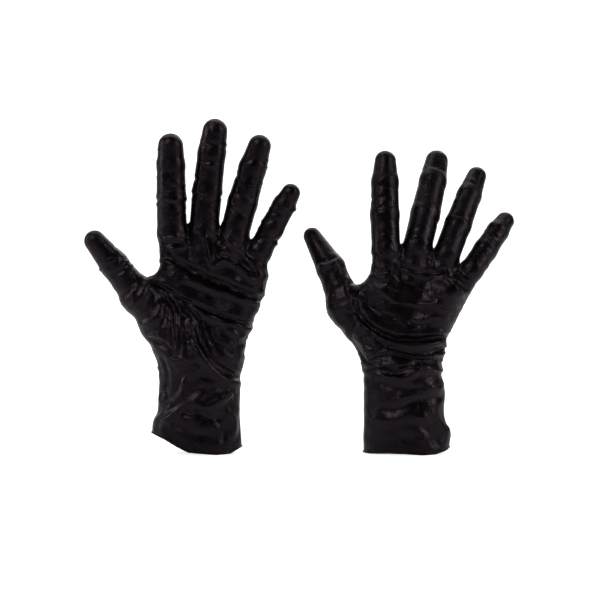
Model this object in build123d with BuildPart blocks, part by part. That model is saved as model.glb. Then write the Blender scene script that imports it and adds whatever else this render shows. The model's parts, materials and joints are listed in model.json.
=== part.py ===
from build123d import *
import os
from dataclasses import dataclass
from math import cos, radians, sin, sqrt, tan

# A pair of disposable nitrile gloves, filled out to the shape they take on two hands.
# Each glove is one dipped film whose open edge is rolled into a bead. The film stands
# on that bead with its fingers up: +Z is towards the fingertips, +X to the viewer's
# right, and -Y is the viewer's side. The left glove shows its palm to -Y and the right
# glove shows its back.
#
# The film is divided where it folds. Between two folds it keeps its shape and is a
# rigid zone; across a fold it is a ring that bends. Lengths are millimetres, angles
# degrees.

# ---------------------------------------------------------------- film and rolled bead
film = 0.15  # thickness of the dipped film
bead_diameter = 1.4  # the roll at the open edge
bead_height = 1.3  # the roll is pressed a little flat above and below

# ------------------------------------------------------------------------ cuff and palm
rim_half_width, rim_half_depth = 33.0, 21.0
wrist_half_width, wrist_half_depth = 29.0, 18.5
heel_half_width, heel_half_depth = 34.0, 16.5
middle_half_width, middle_half_depth = 38.5, 14.0
knuckle_half_depth = 9.6
heel_station, middle_station = 0.28, 0.6  # places between wrist (0) and knuckles (1)
web_gap = 2.1  # film between one finger's root and the next
web_depth = 1.0  # the film between two fingers lies this far below their roots
knuckle_arch = 13.0  # rise of the knuckles' arch over the width of the four fingers

# ------------------------------------------------------------------------------- folds
half_gap = 0.75  # half the width of a fold at its hinge line
swing_margin = 1.0  # extra angle on each side of a fold
side_room = 0.3  # a fold's cut is this much wider than the finger on each side
root_room = 6.0  # the palm is cut this far past a finger, where its root swings
hinge_inset = 3.0  # a finger's hinge line is this far from its centre, on the palm side


@dataclass
class Digit:
    """One finger or thumb: root to tip in three stretches, or two for a thumb."""

    base: float  # from the web to the middle joint
    middle: float  # from the middle joint to the end joint, 0 on the thumb
    tip: float  # from the last joint to the tip
    root_radius: float
    tip_radius: float
    root_fold: float  # height of the root hinge above the web

    @property
    def length(self):
        return self.base + self.middle + self.tip


digits = {
    "index": Digit(24.0, 25.0, 23.0, 10.2, 8.6, root_fold=3.0),
    "middle": Digit(27.0, 29.0, 26.0, 10.4, 8.7, root_fold=3.0),
    "ring": Digit(25.0, 27.0, 25.0, 10.2, 8.3, root_fold=3.0),
    "little": Digit(18.0, 19.0, 18.0, 8.8, 7.2, root_fold=3.0),
    "thumb": Digit(31.0, 0.0, 31.0, 12.4, 9.2, root_fold=0.0),
}
finger_names = [name for name in digits if name != "thumb"]

# How far each fold turns: towards the palm, and back from it.
root_swing = (55.0, 15.0)
middle_swing = (70.0, 0.0)
end_swing = (38.5, 0.0)  # it follows the middle joint at 0.55 of its angle
thumb_root_swing = (25.0, 10.0)
thumb_tip_swing = (40.0, 5.0)
wrist_swing = (50.0, 40.0)


@dataclass
class Worn:
    """How the hand inside holds one glove."""

    side: str
    palm_side: int  # -1 when the palm looks to -Y, 1 when it looks to +Y
    wrist_x: float
    cuff_length: float  # floor to wrist
    palm_length: float  # wrist to knuckle line
    rim_shift: float  # rim centre, across from the wrist's centre
    knuckle_shift: float  # knuckle line's centre, across from the wrist's centre
    slant: float  # fall of the knuckle line towards the little finger
    spread: dict  # each digit's lean to the right
    lean: dict  # each digit's lean to the palm side
    thumb_root: tuple  # thumb's root hinge, across and up from the wrist's centre
    thumb_forward: float  # thumb's root hinge, to the palm side of the palm's middle
    thenar: tuple  # centre of the thumb's ball, across and up from the wrist's centre
    thenar_radius: float


left = Worn(
    side="left",
    palm_side=-1,
    wrist_x=-72.5,
    cuff_length=57.0,
    palm_length=94.5,
    rim_shift=-2.0,
    knuckle_shift=9.5,
    slant=11.0,
    spread={"index": -1.0, "middle": 6.3, "ring": 15.8, "little": 25.8, "thumb": -41.0},
    lean={"index": 4.0, "middle": 4.0, "ring": 4.0, "little": 5.0, "thumb": 8.0},
    thumb_root=(-44.5, 58.5),
    thumb_forward=4.0,
    thenar=(-10.5, 19.0),
    thenar_radius=17.0,
)
right = Worn(
    side="right",
    palm_side=1,
    wrist_x=76.0,
    cuff_length=62.0,
    palm_length=77.5,
    rim_shift=3.0,
    knuckle_shift=18.7,
    slant=13.0,
    spread={"index": 0.0, "middle": 13.0, "ring": 20.5, "little": 33.0, "thumb": -25.5},
    lean={"index": 8.0, "middle": 26.0, "ring": 25.0, "little": 24.0, "thumb": 14.0},
    thumb_root=(-41.5, 46.5),
    thumb_forward=5.0,
    thenar=(-12.0, 15.0),
    thenar_radius=16.5,
)
gloves = (left, right)


# ------------------------------------------------------------------- places and planes
def up_the_hand(worn, station):
    """Centre of the palm's section at a station between wrist (0) and knuckles (1)."""
    across = worn.wrist_x + worn.knuckle_shift * station**2
    return Vector(across, 0, worn.cuff_length + worn.palm_length * station)


def section_plane(worn, station, above=0.0):
    """Plane of that section. It tilts with the knuckles towards the fingers."""
    tilt = radians(worn.slant * station)
    normal = Vector(sin(tilt), 0, cos(tilt))
    origin = up_the_hand(worn, station) + normal * above
    return Plane(origin=origin, x_dir=(cos(tilt), 0, -sin(tilt)), z_dir=normal)


def finger_row_half_width():
    """Half the width of four fingers side by side with their webs."""
    radii = sum(digits[name].root_radius for name in finger_names)
    return radii + web_gap * (len(finger_names) - 1) / 2


def arch_radius():
    """Radius of the arch on which the finger roots stand."""
    return (finger_row_half_width() ** 2 + knuckle_arch**2) / (2 * knuckle_arch)


def finger_root(worn, name):
    """Centre of a finger at the height of its web."""
    across = -finger_row_half_width()
    for other in finger_names:
        if other == name:
            break
        across += 2 * digits[other].root_radius + web_gap
    across += digits[name].root_radius
    drop = arch_radius() - sqrt(arch_radius() ** 2 - across**2)
    knuckles = section_plane(worn, 1.0)
    return knuckles.from_local_coords((across, 0, knuckle_arch - drop))


def digit_axes(worn, name):
    """Root, direction, bending direction and hinge direction of a digit."""
    spread, lean = radians(worn.spread[name]), radians(worn.lean[name])
    along = Vector(
        sin(spread) * cos(lean), worn.palm_side * sin(lean), cos(spread) * cos(lean)
    )
    if name == "thumb":
        across, up = worn.thumb_root
        root = Vector(
            worn.wrist_x + across,
            worn.palm_side * worn.thumb_forward,
            worn.cuff_length + up,
        )
        towards = Vector(1, worn.palm_side, 0)
    else:
        root = finger_root(worn, name)
        towards = Vector(0, worn.palm_side, 0)
    bend = (towards - along * towards.dot(along)).normalized()
    return root, along, bend, along.cross(bend)


def wrist_axes(worn):
    root = up_the_hand(worn, 0)
    along, bend = Vector(0, 0, 1), Vector(0, worn.palm_side, 0)
    return root, along, bend, along.cross(bend)


def bending_plane(axes):
    """Local X runs along the digit and local Y points to the palm side."""
    root, along, _, hinge = axes
    return Plane(origin=root, x_dir=along, z_dir=hinge)


# ------------------------------------------------------------------------------- folds
@dataclass
class Fold:
    at: float  # distance of the hinge from the root, along the digit
    inset: float  # distance of the hinge from the centre, to the palm side
    swing: tuple  # angles to the palm side and back

    def side(self, sign, reach):
        """Three corners of one side of the fold, from the back to the palm side."""
        to_palm, to_back = (swing / 2 + swing_margin for swing in self.swing)
        back = half_gap + (reach + self.inset) * tan(radians(to_back))
        palm = half_gap + (reach - self.inset) * tan(radians(to_palm))
        return [
            (self.at + sign * back, -reach),
            (self.at + sign * half_gap, self.inset),
            (self.at + sign * palm, reach),
        ]


def digit_folds(name):
    """A digit's folds from root to tip."""
    digit = digits[name]
    if name == "thumb":
        return [
            Fold(digit.root_fold, hinge_inset, thumb_root_swing),
            Fold(digit.base, hinge_inset, thumb_tip_swing),
        ]
    return [
        Fold(digit.root_fold, hinge_inset, root_swing),
        Fold(digit.base, hinge_inset, middle_swing),
        Fold(digit.base + digit.middle, hinge_inset, end_swing),
    ]


wrist_fold = Fold(0.0, 0.0, wrist_swing)


def zone(shape, axes, lower, upper, half_width, mode=Mode.INTERSECT):
    """The stretch of a film between two boundaries, each a list of three corners."""
    with BuildPart() as stretch:
        add(shape)
        with BuildSketch(bending_plane(axes)):
            with BuildLine():
                Polyline(*lower, *reversed(upper), close=True)
            make_face()
        extrude(amount=half_width, both=True, mode=mode)
    return stretch.part


# ------------------------------------------------------------------------------- films
def tapered_body(start, end, start_radius, end_radius, side):
    """A round bar with a dome at each end, its seam on the given side."""
    along = (end - start).normalized()
    length = (end - start).length
    with BuildPart() as body:
        with BuildSketch(Plane(origin=start, x_dir=side, z_dir=side.cross(along))):
            with BuildLine():
                Polyline((0, length + end_radius), (0, -start_radius))
                CenterArc((0, 0), start_radius, start_angle=-90, arc_size=90)
                Line((start_radius, 0), (end_radius, length))
                CenterArc((0, length), end_radius, start_angle=0, arc_size=90)
            make_face()
        revolve(axis=Axis(start, along))
    return body.part


def digit_body(worn, name, offset):
    """A digit filled solid. Its lower dome reaches into the palm."""
    digit = digits[name]
    root, along, _, hinge = digit_axes(worn, name)
    end = root + along * (digit.length - digit.tip_radius)
    return tapered_body(
        root, end, digit.root_radius - offset, digit.tip_radius - offset, hinge
    )


def digit_film(worn, name):
    with BuildPart() as skin:
        add(digit_body(worn, name, 0.0))
        add(digit_body(worn, name, film), mode=Mode.SUBTRACT)
    return skin.part


def thenar_body(worn, offset):
    """The ball of the thumb, from the thumb's root down into the palm."""
    root = digit_axes(worn, "thumb")[0]
    across, up = worn.thenar
    ball = Vector(worn.wrist_x + across, 0, worn.cuff_length + up)
    side = Vector(0, 1, 0).cross(root - ball).normalized()
    root_radius = digits["thumb"].root_radius
    return tapered_body(
        ball, root, worn.thenar_radius - offset, root_radius - offset, side
    )


def palm_body(worn, offset):
    """Cuff and palm filled solid, from the rolled bead to the webs."""
    row = finger_row_half_width()
    sections = [
        (section_plane(worn, 0.0), wrist_half_width, wrist_half_depth),
        (section_plane(worn, heel_station), heel_half_width, heel_half_depth),
        (section_plane(worn, middle_station), middle_half_width, middle_half_depth),
        (section_plane(worn, 1.0, knuckle_arch), row, knuckle_half_depth),
    ]
    rim = Plane(origin=(worn.wrist_x + worn.rim_shift, 0, bead_height))
    sections.insert(0, (rim, rim_half_width, rim_half_depth))
    arch_centre = knuckle_arch - arch_radius()
    with BuildPart() as body:
        for plane, half_width, half_depth in sections:
            with BuildSketch(plane):
                SlotOverall(2 * (half_width - offset), 2 * (half_depth - offset))
        loft()
        knuckles = section_plane(worn, 1.0)
        arch_plane = Plane(origin=knuckles.origin, x_dir=knuckles.x_dir, z_dir=(0, -1, 0))
        with BuildSketch(arch_plane):
            Rectangle(4 * row, 4 * row)
            with Locations((0, arch_centre)):
                Circle(arch_radius() - web_depth - offset, mode=Mode.SUBTRACT)
            with Locations((0, arch_centre - 2 * row)):
                Rectangle(4 * row, 4 * row, mode=Mode.SUBTRACT)
        extrude(amount=2 * rim_half_depth, both=True, mode=Mode.SUBTRACT)
    return body.part


def hand_film(worn):
    """The film of cuff and palm, open at the rim and into every digit."""
    with BuildPart() as skin:
        for offset, mode in ((0.0, Mode.ADD), (film, Mode.SUBTRACT)):
            add(palm_body(worn, offset), mode=mode)
            add(thenar_body(worn, offset), mode=mode)
            for name in digits:
                add(digit_body(worn, name, offset), mode=mode)
    return skin.part


# ------------------------------------------------------------------------ named pieces
pieces = {}


def keep(shape, name):
    shape.label = name
    pieces[name] = shape


def make_cuff_and_palm(worn):
    skin = hand_film(worn)
    axes = wrist_axes(worn)
    wide = finger_row_half_width() + worn.knuckle_shift + digits["thumb"].length
    reach = rim_half_depth + worn.thenar_radius
    below, above = (wrist_fold.side(sign, reach) for sign in (-1, 1))
    floor = [(-worn.cuff_length, corner[1]) for corner in below]
    keep(zone(skin, axes, floor, below, wide), f"{worn.side}_cuff")
    keep(zone(skin, axes, below, above, wide), f"{worn.side}_wrist_fold")

    top = worn.palm_length + knuckle_arch + digits["middle"].length
    ceiling = [(top, corner[1]) for corner in above]
    palm = zone(skin, axes, above, ceiling, wide)
    for name, digit in digits.items():
        root_fold = digit_folds(name)[0]
        reach = digit.root_radius + root_room
        lower = root_fold.side(-1, reach)
        beyond = [(digit.length + 1, corner[1]) for corner in lower]
        digit_frame = digit_axes(worn, name)
        half_width = digit.root_radius + side_room
        palm = zone(palm, digit_frame, lower, beyond, half_width, mode=Mode.SUBTRACT)
    keep(palm, f"{worn.side}_palm")


def make_digit(worn, name):
    """The rigid zones of a digit and the rings that bend between them."""
    digit, axes = digits[name], digit_axes(worn, name)
    skin = digit_film(worn, name)
    reach = digit.root_radius + 1
    folds = digit_folds(name)
    zone_names = ["base", "tip"] if name == "thumb" else ["base", "middle", "tip"]
    root_ring = zone(skin, axes, folds[0].side(-1, reach), folds[0].side(1, reach), reach)
    for fold, following, zone_name in zip(folds, folds[1:] + [None], zone_names):
        lower = fold.side(1, reach)
        upper = [(digit.length + 1, corner[1]) for corner in lower]
        if following:
            upper = following.side(-1, reach)
            ring = zone(skin, axes, upper, following.side(1, reach), reach)
            next_zone = zone_names[zone_names.index(zone_name) + 1]
            keep(ring, f"{worn.side}_{name}_{next_zone}_fold")
        keep(zone(skin, axes, lower, upper, reach), f"{worn.side}_{name}_{zone_name}")
    return root_ring


def make_bead(worn):
    with BuildPart() as bead:
        middle = Vector(worn.wrist_x + worn.rim_shift, 0, bead_height / 2)
        straight = rim_half_width - rim_half_depth
        radius = rim_half_depth - film / 2
        with BuildLine(Plane(origin=middle)) as rim:
            Line((-straight, radius), (straight, radius))
            CenterArc((straight, 0), radius, start_angle=90, arc_size=-180)
            Line((straight, -radius), (-straight, -radius))
            CenterArc((-straight, 0), radius, start_angle=-90, arc_size=-180)
        with BuildSketch(Plane(origin=rim.line @ 0, z_dir=rim.line % 0)):
            Circle(bead_diameter / 2)
        sweep(path=rim.line)
        split(bisect_by=Plane.XY.offset(bead_height), keep=Keep.BOTTOM)
        split(bisect_by=Plane.XY, keep=Keep.TOP)
    keep(bead.part, f"{worn.side}_cuff_bead")


def make_glove(worn):
    make_bead(worn)
    make_cuff_and_palm(worn)
    rings = {name: make_digit(worn, name) for name in digits}
    keep(rings["thumb"], f"{worn.side}_thumb_base_fold")
    knuckles = [rings[name].solid() for name in finger_names]
    keep(Compound(children=knuckles), f"{worn.side}_knuckle_folds")


def row_origin():
    """Bottom centre of the whole pair, which becomes the origin."""
    boxes = [shape.bounding_box() for shape in pieces.values()]
    low = [min(tuple(box.min)[axis] for box in boxes) for axis in range(2)]
    high = [max(tuple(box.max)[axis] for box in boxes) for axis in range(2)]
    return Vector(*[(a + b) / 2 for a, b in zip(low, high)], 0)


for glove in gloves:
    make_glove(glove)

origin = row_origin()
os.makedirs("parts", exist_ok=True)
for label, shape in pieces.items():
    placed = shape.moved(Location(-origin))
    placed.label = label
    export_step(placed, f"parts/{label}.step")
print(len(pieces), "pieces, origin", origin)
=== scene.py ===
import json
import math
import time
import bpy
import numpy as np
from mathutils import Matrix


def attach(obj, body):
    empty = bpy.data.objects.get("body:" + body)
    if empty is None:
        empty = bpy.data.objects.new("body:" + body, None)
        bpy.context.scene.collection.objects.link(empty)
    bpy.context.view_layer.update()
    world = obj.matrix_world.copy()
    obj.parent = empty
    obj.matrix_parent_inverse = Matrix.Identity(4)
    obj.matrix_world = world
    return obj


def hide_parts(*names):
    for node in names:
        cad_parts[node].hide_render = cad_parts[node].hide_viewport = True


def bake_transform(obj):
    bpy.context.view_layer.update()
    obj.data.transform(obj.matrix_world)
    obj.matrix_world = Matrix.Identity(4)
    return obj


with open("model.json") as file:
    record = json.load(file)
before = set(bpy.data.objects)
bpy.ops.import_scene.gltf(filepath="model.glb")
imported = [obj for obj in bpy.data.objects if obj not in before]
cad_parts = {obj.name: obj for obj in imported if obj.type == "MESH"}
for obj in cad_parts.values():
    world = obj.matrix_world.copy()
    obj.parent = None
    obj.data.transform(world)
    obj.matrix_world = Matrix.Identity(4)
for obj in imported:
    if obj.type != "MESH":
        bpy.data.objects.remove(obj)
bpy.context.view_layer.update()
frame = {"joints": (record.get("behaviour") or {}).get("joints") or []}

import openvdb
from mathutils import Vector

# A pair of worn nitrile gloves. Shapes are worked out in millimetres in the row frame
# and turned into metres when a mesh is made.
mm = 0.001
sides = ["left", "right"]
fingerNames = ["index", "middle", "ring", "little"]
digitNames = fingerNames + ["thumb"]
joints = {joint["name"]: joint for joint in frame["joints"]}
palmSide = {"left": -1, "right": 1}  # the way the palm looks along Y
started = time.time()


def report(text):
    print(f"[{time.time() - started:5.1f} s] {text}")


# ---- small maths
def unit(v):
    return v / np.linalg.norm(v)


def smooth(low, high, x):
    t = np.clip((x - low) / (high - low), 0, 1)
    return t * t * (3 - 2 * t)


def join(a, b, k):
    h = np.clip(0.5 + 0.5 * (b - a) / k, 0, 1)  # smooth union of two distances
    return b + (a - b) * h - k * h * (1 - h)


def bar(p, start, end, startRadius, endRadius):
    start, end = np.asarray(start, np.float32), np.asarray(end, np.float32)
    along = end - start
    t = np.clip(((p - start) @ along) / float(along @ along), 0, 1)
    d = p - start - t[:, None] * along
    return np.sqrt((d * d).sum(1)) - (startRadius + t * (endRadius - startRadius))


# ---- the hand form that fills a glove, as a distance field
digitForm = {  # hinge height over the web, length, radii at root, first joint, last joint, tip
    "index": {"hingeAt": 3.0, "reach": 72.0, "radii": (10.1, 10.2, 9.5, 8.5)},
    "middle": {"hingeAt": 3.0, "reach": 82.0, "radii": (10.2, 10.4, 9.6, 8.6)},
    "ring": {"hingeAt": 3.0, "reach": 77.0, "radii": (10.1, 10.2, 9.3, 8.2)},
    "little": {"hingeAt": 3.0, "reach": 55.0, "radii": (8.7, 8.7, 8.1, 7.1)},
    "thumb": {"hingeAt": 0.0, "reach": 62.0, "radii": (12.2, 10.4, 10.2, 8.0)},
}
digitFit = {  # how each worn digit differs: fatter, longer, bowed sideways at joints and tip, finer tip
    "left": {
        "index": {"fatter": 0.5, "longer": 0.5, "sway": (0.0, 0.3, 0.5), "finer": 0.0},
        "middle": {"fatter": 0.3, "longer": -0.4, "sway": (-0.6, -0.2, 0.6), "finer": 0.0},
        "ring": {"fatter": 0.5, "longer": -0.2, "sway": (-0.4, -0.2, 0.5), "finer": 0.5},
        "little": {"fatter": 0.0, "longer": -0.4, "sway": (0.6, 1.5, 2.2), "finer": 0.4},
        "thumb": {"fatter": 0.0, "longer": -1.6, "sway": (0.8, 1.8, 1.8), "finer": 0.4},
    },
    "right": {
        "index": {"fatter": 0.2, "longer": 0.8, "sway": (-0.6, -0.3, 0.2), "finer": 1.0},
        "middle": {"fatter": 0.2, "longer": 1.4, "sway": (1.0, 1.8, 1.8), "finer": 0.5},
        "ring": {"fatter": -0.5, "longer": 1.0, "sway": (0.8, 1.8, 2.7), "finer": 0.7},
        "little": {"fatter": -0.2, "longer": 0.6, "sway": (0.8, 1.6, 2.4), "finer": 0.4},
        "thumb": {"fatter": 0.2, "longer": 4.6, "sway": (2.6, 3.6, -0.4), "finer": 1.8},
    },
}
palmForm = {
    "hingeInset": 3.0,  # a digit's hinge lies this far to the palm side of its middle
    "carpalAcross": {"index": -12, "middle": -4.5, "ring": 4, "little": 12},
    "carpalUp": 17,
    "carpalRadius": 14.0,
    "ball": (-10.5, 2.0, 20.0),  # ball of the thumb from the wrist's middle
    "ballRadius": 15.0,
    "bulge": {"left": (-29.8, 2.0, 37.0), "right": (-28.5, 2.0, 32.0)},
    "bulgeRadius": 13.5,
    "heel": {"left": (16.0, 2.5, 20.0), "right": (13.0, 2.5, 17.0)},
    "heelRadius": 13.5,
    "edge": {"left": (2.0, 1.0, 0.0), "right": (-8.2, 1.0, 0.0)},  # little finger's side
    "edgeRadius": {"left": 12.5, "right": 11.0},
    "knuckleDrop": {"left": 2.5, "right": 6.5},
    "knuckleThinner": 0.5,
    "edgeDown": 24,  # from the little finger's root down along the finger
    "thumbRadius": 12.2,
    "thumbWeb": (7.5, 9.0),  # radii of the web beside the thumb
    "webEnd": 0.62,  # where that web ends, from the wrist to the index finger's root
    "curl": (0.0, -0.6, -0.2, 1.4),  # how far a digit bows to the palm side
}
softness = {  # how far two bodies of the hand run into each other
    "digit": 2.0, "palm": 9.0, "edge": 8.0, "sleeve": 12.0, "thumb": 6.0, "fingers": 0.8, "web": 3.5,
    "sleeveTop": 10.0,
}
sleeveForm = {
    "top": 16,  # above the wrist's hinge
    "nearest": -12,
    "farthest": 40,
    "left": {
        "heights": [-12, 0, 12, 28, 45, 60, 78, 92],
        "centres": [-75, -75.2, -75, -74.0, -72.8, -72.6, -72.5, -72.5],
        "halfWidths": [33.2, 33.0, 32.2, 30.2, 29.4, 29.2, 30.5, 31],
        "halfDepths": [21, 21, 20.5, 19.8, 19.2, 18.6, 17.5, 16],
    },
    "right": {
        "heights": [-12, 0, 12, 28, 45, 62, 78, 92],
        "centres": [79.6, 79.8, 78.9, 78.0, 78.0, 76.6, 76.0, 76],
        "halfWidths": [31.8, 31.6, 30.4, 29.6, 29.4, 28.5, 29, 29.5],
        "halfDepths": [21, 21, 20.5, 19.8, 19.2, 18.4, 17.3, 16],
    },
}


def place(jointName):
    return np.array(joints[jointName]["pos_m"]) / mm


def digitLine(side, name):
    form = digitForm[name]
    first = joints[f"{side}_{name}_root_bend"]
    start, end = place(f"{side}_{name}_root_bend"), place(f"{side}_{name}_end_bend")
    along = unit(end - start)
    palmward = np.cross(np.array(first["axis"]), along)
    root = start - palmward * palmForm["hingeInset"] - along * form["hingeAt"]
    last = np.dot(end - start, along) + form["hingeAt"]
    if name == "thumb":
        first = last * 0.5
    else:
        first = np.dot(place(f"{side}_{name}_middle_bend") - start, along) + form["hingeAt"]
    fit = digitFit[side][name]
    radii = [radius + fit["fatter"] for radius in form["radii"]]
    radii[3] -= fit["finer"]
    reach = form["reach"] + fit["longer"]
    stations = [0.0, first, last, reach - radii[3]]
    sideways = np.cross(along, palmward)
    sideways *= np.sign(sideways[0])  # always towards +X
    points = [root + along * s + palmward * bow + sideways * sway
              for s, bow, sway in zip(stations, palmForm["curl"], (0.0, *fit["sway"]))]
    return {"root": root, "along": along, "palmward": palmward, "stations": stations,
            "points": points, "radii": radii, "reach": reach}


digitLines = {side: {name: digitLine(side, name) for name in digitNames} for side in sides}
wrists = {side: place(f"{side}_wrist_bend") for side in sides}


def digitDistance(p, line):
    d = None
    for i in range(3):
        stretch = bar(p, *line["points"][i:i + 2], *line["radii"][i:i + 2])
        d = stretch if d is None else join(d, stretch, softness["digit"])
    return d


def sleeveDistance(side, p):
    form, wrist = sleeveForm[side], wrists[side]
    z = p[:, 2]
    centre, halfWidth, halfDepth = (
        np.interp(z, form["heights"], form[key]) for key in ("centres", "halfWidths", "halfDepths")
    )
    dx, dy = p[:, 0] - centre, p[:, 1] - wrist[1]
    q = np.sqrt((dx / halfWidth) ** 2 + (dy / halfDepth) ** 2) + 1e-6
    slope = np.sqrt((dx / halfWidth**2) ** 2 + (dy / halfDepth**2) ** 2) / q + 1e-6
    d = np.clip((q - 1) / slope, sleeveForm["nearest"], sleeveForm["farthest"])
    above = z - (wrist[2] + sleeveForm["top"])
    return -join(-d, -above, softness["sleeveTop"])  # it fades into the palm


def handDistance(side, p):
    lines, wrist = digitLines[side], wrists[side]
    out = None
    for name in fingerNames:
        line = lines[name]
        carpal = wrist + [palmForm["carpalAcross"][name], 0, palmForm["carpalUp"]]
        knuckle = line["root"] - unit(line["root"] - carpal) * palmForm["knuckleDrop"][side]
        knuckleRadius = line["radii"][0] - palmForm["knuckleThinner"]
        bone = bar(p, carpal, knuckle, palmForm["carpalRadius"], knuckleRadius)
        out = bone if out is None else join(out, bone, softness["palm"])
    thumb = lines["thumb"]
    turned = np.array([1, palmSide[side], 1])
    ball = wrist + np.array(palmForm["ball"]) * turned
    base = bar(p, ball, thumb["root"], palmForm["ballRadius"], palmForm["thumbRadius"])
    out = join(out, base, softness["palm"])
    bulge = wrist + np.array(palmForm["bulge"][side]) * turned
    swelling = bar(p, ball, bulge, palmForm["bulgeRadius"], palmForm["bulgeRadius"])
    out = join(out, swelling, softness["palm"])
    heel = wrist + np.array(palmForm["heel"][side]) * turned
    little = lines["little"]
    edge = little["root"] - little["along"] * palmForm["edgeDown"]
    edge = edge + np.array(palmForm["edge"][side]) * turned
    outside = bar(p, heel, edge, palmForm["heelRadius"], palmForm["edgeRadius"][side])
    out = join(out, outside, softness["edge"])
    carpal = wrist + [palmForm["carpalAcross"]["index"], 0, palmForm["carpalUp"]]
    webEnd = lines["index"]["root"] * palmForm["webEnd"] + carpal * (1 - palmForm["webEnd"])
    web = bar(p, thumb["root"] + thumb["along"], webEnd, *palmForm["thumbWeb"])
    out = join(out, web, softness["palm"])
    out = join(out, sleeveDistance(side, p), softness["sleeve"])
    out = join(out, digitDistance(p, thumb), softness["thumb"])
    fingers = None
    for name in fingerNames:
        d = digitDistance(p, lines[name])
        fingers = d if fingers is None else join(fingers, d, softness["fingers"])
    return join(out, fingers, softness["web"])


# ---- the film as a mesh of quads
filmForm = {
    "step": 1.64,  # spacing of the film's points before its last subdivision
    "thickness": 0.15,
    "gap": 0.3,  # between hand and film where the film is tight
    "rimHeight": 0.65,  # the rolled bead's middle
    "rowsBelow": 6.5,  # rows of points sampled below the rim
    "band": 3,  # how many steps from the film distances are kept
    "cuffSpace": ((-36, -24), (40, 24)),  # across and deep, from the wrist's hinge
    "margin": 15,
}


def sampleHand(side):
    (left, front), (right, back) = filmForm["cuffSpace"]
    points = [wrists[side] + [left, front, -wrists[side][2]], wrists[side] + [right, back, 0]]
    for line in digitLines[side].values():
        points += [line["root"], line["root"] + line["along"] * line["reach"]]
    low, high = np.min(points, 0) - filmForm["margin"], np.max(points, 0) + filmForm["margin"]
    step = filmForm["step"]
    low[2] = filmForm["rimHeight"] - step * filmForm["rowsBelow"]  # a row comes to lie at the rim
    count = np.ceil((high - low) / step).astype(int) + 1
    axes = [low[i] + step * np.arange(count[i]) for i in range(3)]
    grid = np.stack(np.meshgrid(*axes, indexing="ij"), -1).reshape(-1, 3).astype(np.float32)
    distance = handDistance(side, grid).reshape(count)
    slopes = np.gradient(distance, step)
    table = np.stack([distance, *slopes], -1).astype(np.float32)
    return {"low": low, "step": step, "distance": distance, "table": table}


def lookUp(hand, p):
    # distance and its slope at p, by trilinear interpolation
    table = hand["table"]
    at = np.clip((p - hand["low"]) / hand["step"], 0, np.array(table.shape[:3]) - 1.001)
    cell = at.astype(int)
    t = (at - cell).astype(np.float32)
    out = 0
    for corner in range(8):
        bits = np.array([corner & 1, corner >> 1 & 1, corner >> 2 & 1])
        weight = np.prod(np.where(bits, t, 1 - t), axis=1)
        i, j, k = (cell + bits).T
        out = out + table[i, j, k] * weight[:, None]
    return out[:, 0], out[:, 1:]


def openFilm(hand):
    step = hand["step"]
    band = filmForm["band"] * step
    grid = openvdb.FloatGrid(float(band))
    away = hand["distance"] - filmForm["gap"]
    grid.copyFromArray(np.clip(away, -band, band).astype(np.float32))
    v, quads = grid.convertToQuads(0.0)
    v = v * step + hand["low"]
    quads = quads.astype(np.int64)
    keep = (v[quads][:, :, 2] > filmForm["rimHeight"] - 0.6 * step).all(axis=1)
    quads = quads[keep]
    used = np.unique(quads)
    number = np.full(len(v), -1)
    number[used] = np.arange(len(used))
    v, quads = v[used], number[quads]
    rim = rimPoints(quads)
    v[rim, 2] = filmForm["rimHeight"]
    # wind the quads so that they face away from the hand
    a, b, c = v[quads[:, 0]], v[quads[:, 1]], v[quads[:, 2]]
    outward = lookUp(hand, v[quads].mean(1))[1]
    if (np.cross(b - a, c - a) * outward).sum(1).mean() < 0:
        quads = quads[:, ::-1]
    return v, quads


def quadEdges(quads):
    return np.concatenate([quads[:, [i, (i + 1) % 4]] for i in range(4)])


def rimPoints(quads):
    edges = np.sort(quadEdges(quads), axis=1)
    unique, counts = np.unique(edges, axis=0, return_counts=True)
    return np.unique(unique[counts == 1])


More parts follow.
